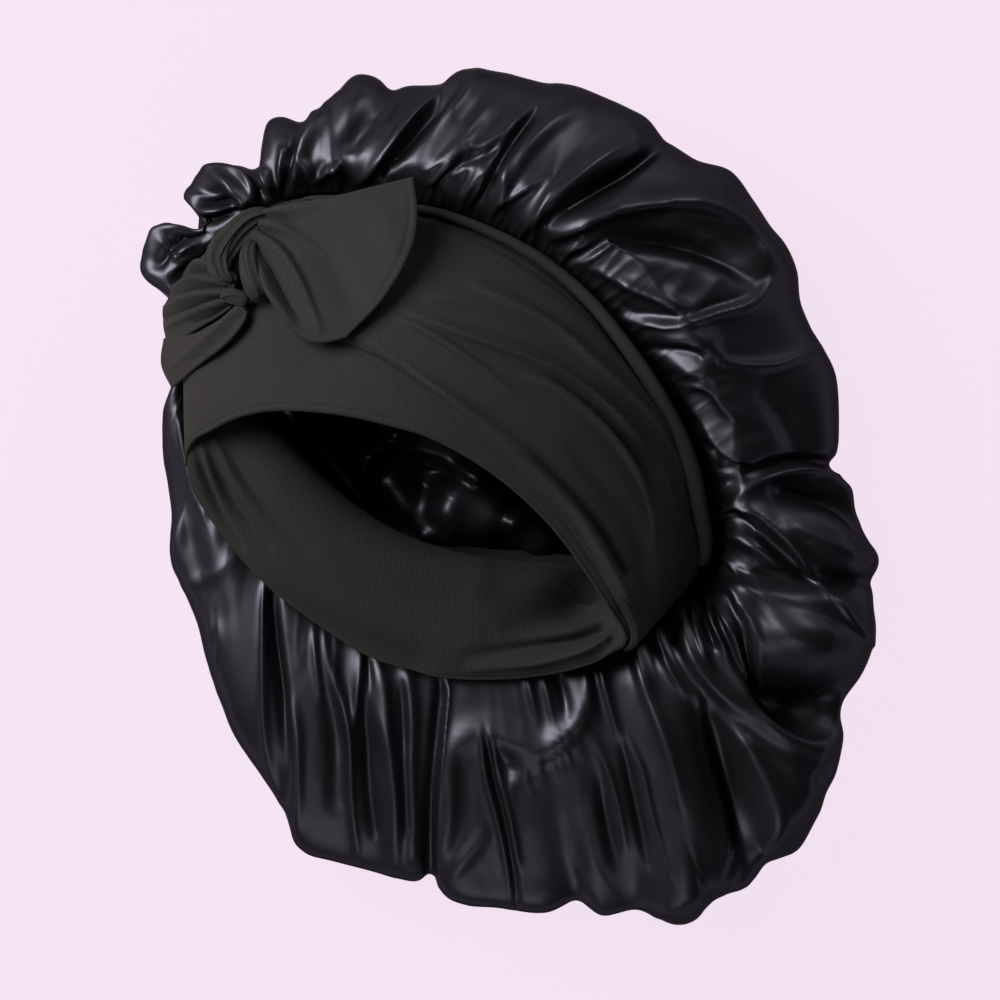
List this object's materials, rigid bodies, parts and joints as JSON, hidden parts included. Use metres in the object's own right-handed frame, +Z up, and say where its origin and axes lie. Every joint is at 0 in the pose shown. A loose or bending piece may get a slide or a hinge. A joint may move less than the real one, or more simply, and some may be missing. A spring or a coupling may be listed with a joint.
{
  "type": "sleep bonnet",
  "caption": "Black satin sleep bonnet with a wide knit head band and a knotted tie, lying on its crown with the mouth up",
  "frame": {"origin": "middle of the underside of the whole bonnet's box, on the surface that it lies on", "axes": "+Z up out of the mouth, +Y along the bonnet's long side towards the band's seam, +X to the mouth's right end"},
  "size_m": [0.3293, 0.3881, 0.1161],
  "materials": {
    "satin": "glossy black satin weave",
    "knit": "matt black fine jersey knit"
  },
  "bodies": {
    "root": {"crown": "satin", "band": "knit", "seam_roll": "knit", "wrap_right": "knit", "wrap_left": "knit", "knot": "knit", "knot_ear": "knit", "knot_bar": "knit", "tail_large": "knit", "tail_small": "knit"}
  },
  "joints": []
}
